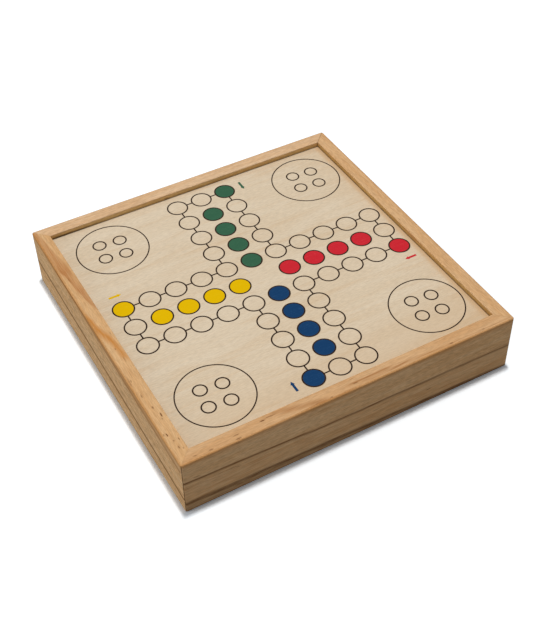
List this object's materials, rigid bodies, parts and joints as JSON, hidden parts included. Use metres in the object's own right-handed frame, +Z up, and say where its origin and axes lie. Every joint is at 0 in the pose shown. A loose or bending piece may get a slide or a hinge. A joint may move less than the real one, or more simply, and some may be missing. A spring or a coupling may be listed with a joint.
{
  "type": "folding board game case",
  "caption": "Flat square wooden case with a ludo board let into its hinged lid and a sorting tray inside for pawns and dice.",
  "frame": {"origin": "centre of the square case on the surface it lies on; the hinge knuckles stand about 2.5 mm proud of the back, so the bounding box is centred about 1.3 mm behind it", "axes": "+Z up through the board, +Y to the hinged back, +X to the right seen from the front"},
  "size_m": [0.286, 0.2885, 0.053],
  "materials": {
    "pine": "sanded, thin clear satin varnish",
    "plywood": "fine pale birch veneer, satin varnish",
    "divider_wood": "sanded, unvarnished",
    "outline_ink": "screen printed ink, satin",
    "yellow_ink": "screen printed ink, satin",
    "green_ink": "screen printed ink, satin",
    "red_ink": "screen printed ink, satin",
    "blue_ink": "screen printed ink, satin",
    "brass": "rolled, lightly brushed",
    "pin_brass": "drawn wire, peened ends",
    "screw_brass": "turned",
    "magnet_nickel": "satin nickel plate"
  },
  "bodies": {
    "base": {"base_front_rail": "pine", "base_back_rail": "pine", "base_left_rail": "pine", "base_right_rail": "pine", "base_panel": "plywood", "long_divider": "divider_wood", "short_dividers": "divider_wood", "left_hinge_base_leaf": "brass", "right_hinge_base_leaf": "brass", "left_hinge_pin": "pin_brass", "right_hinge_pin": "pin_brass", "base_hinge_screws": "screw_brass", "base_magnets": "magnet_nickel"},
    "lid": {"lid_front_rail": "pine", "lid_back_rail": "pine", "lid_left_rail": "pine", "lid_right_rail": "pine", "ludo_panel": "plywood", "track_outlines": "outline_ink", "yellow_fields": "yellow_ink", "green_fields": "green_ink", "red_fields": "red_ink", "blue_fields": "blue_ink", "left_hinge_lid_leaf": "brass", "right_hinge_lid_leaf": "brass", "lid_hinge_screws": "screw_brass", "lid_magnets": "magnet_nickel"}
  },
  "joints": [
    {"name": "lid_hinge", "type": "hinge", "parent": "base", "child": "lid", "pos_m": [0, 0.1435, 0.0265], "axis": [-1, 0, 0], "range_deg": [0, 180]}
  ]
}
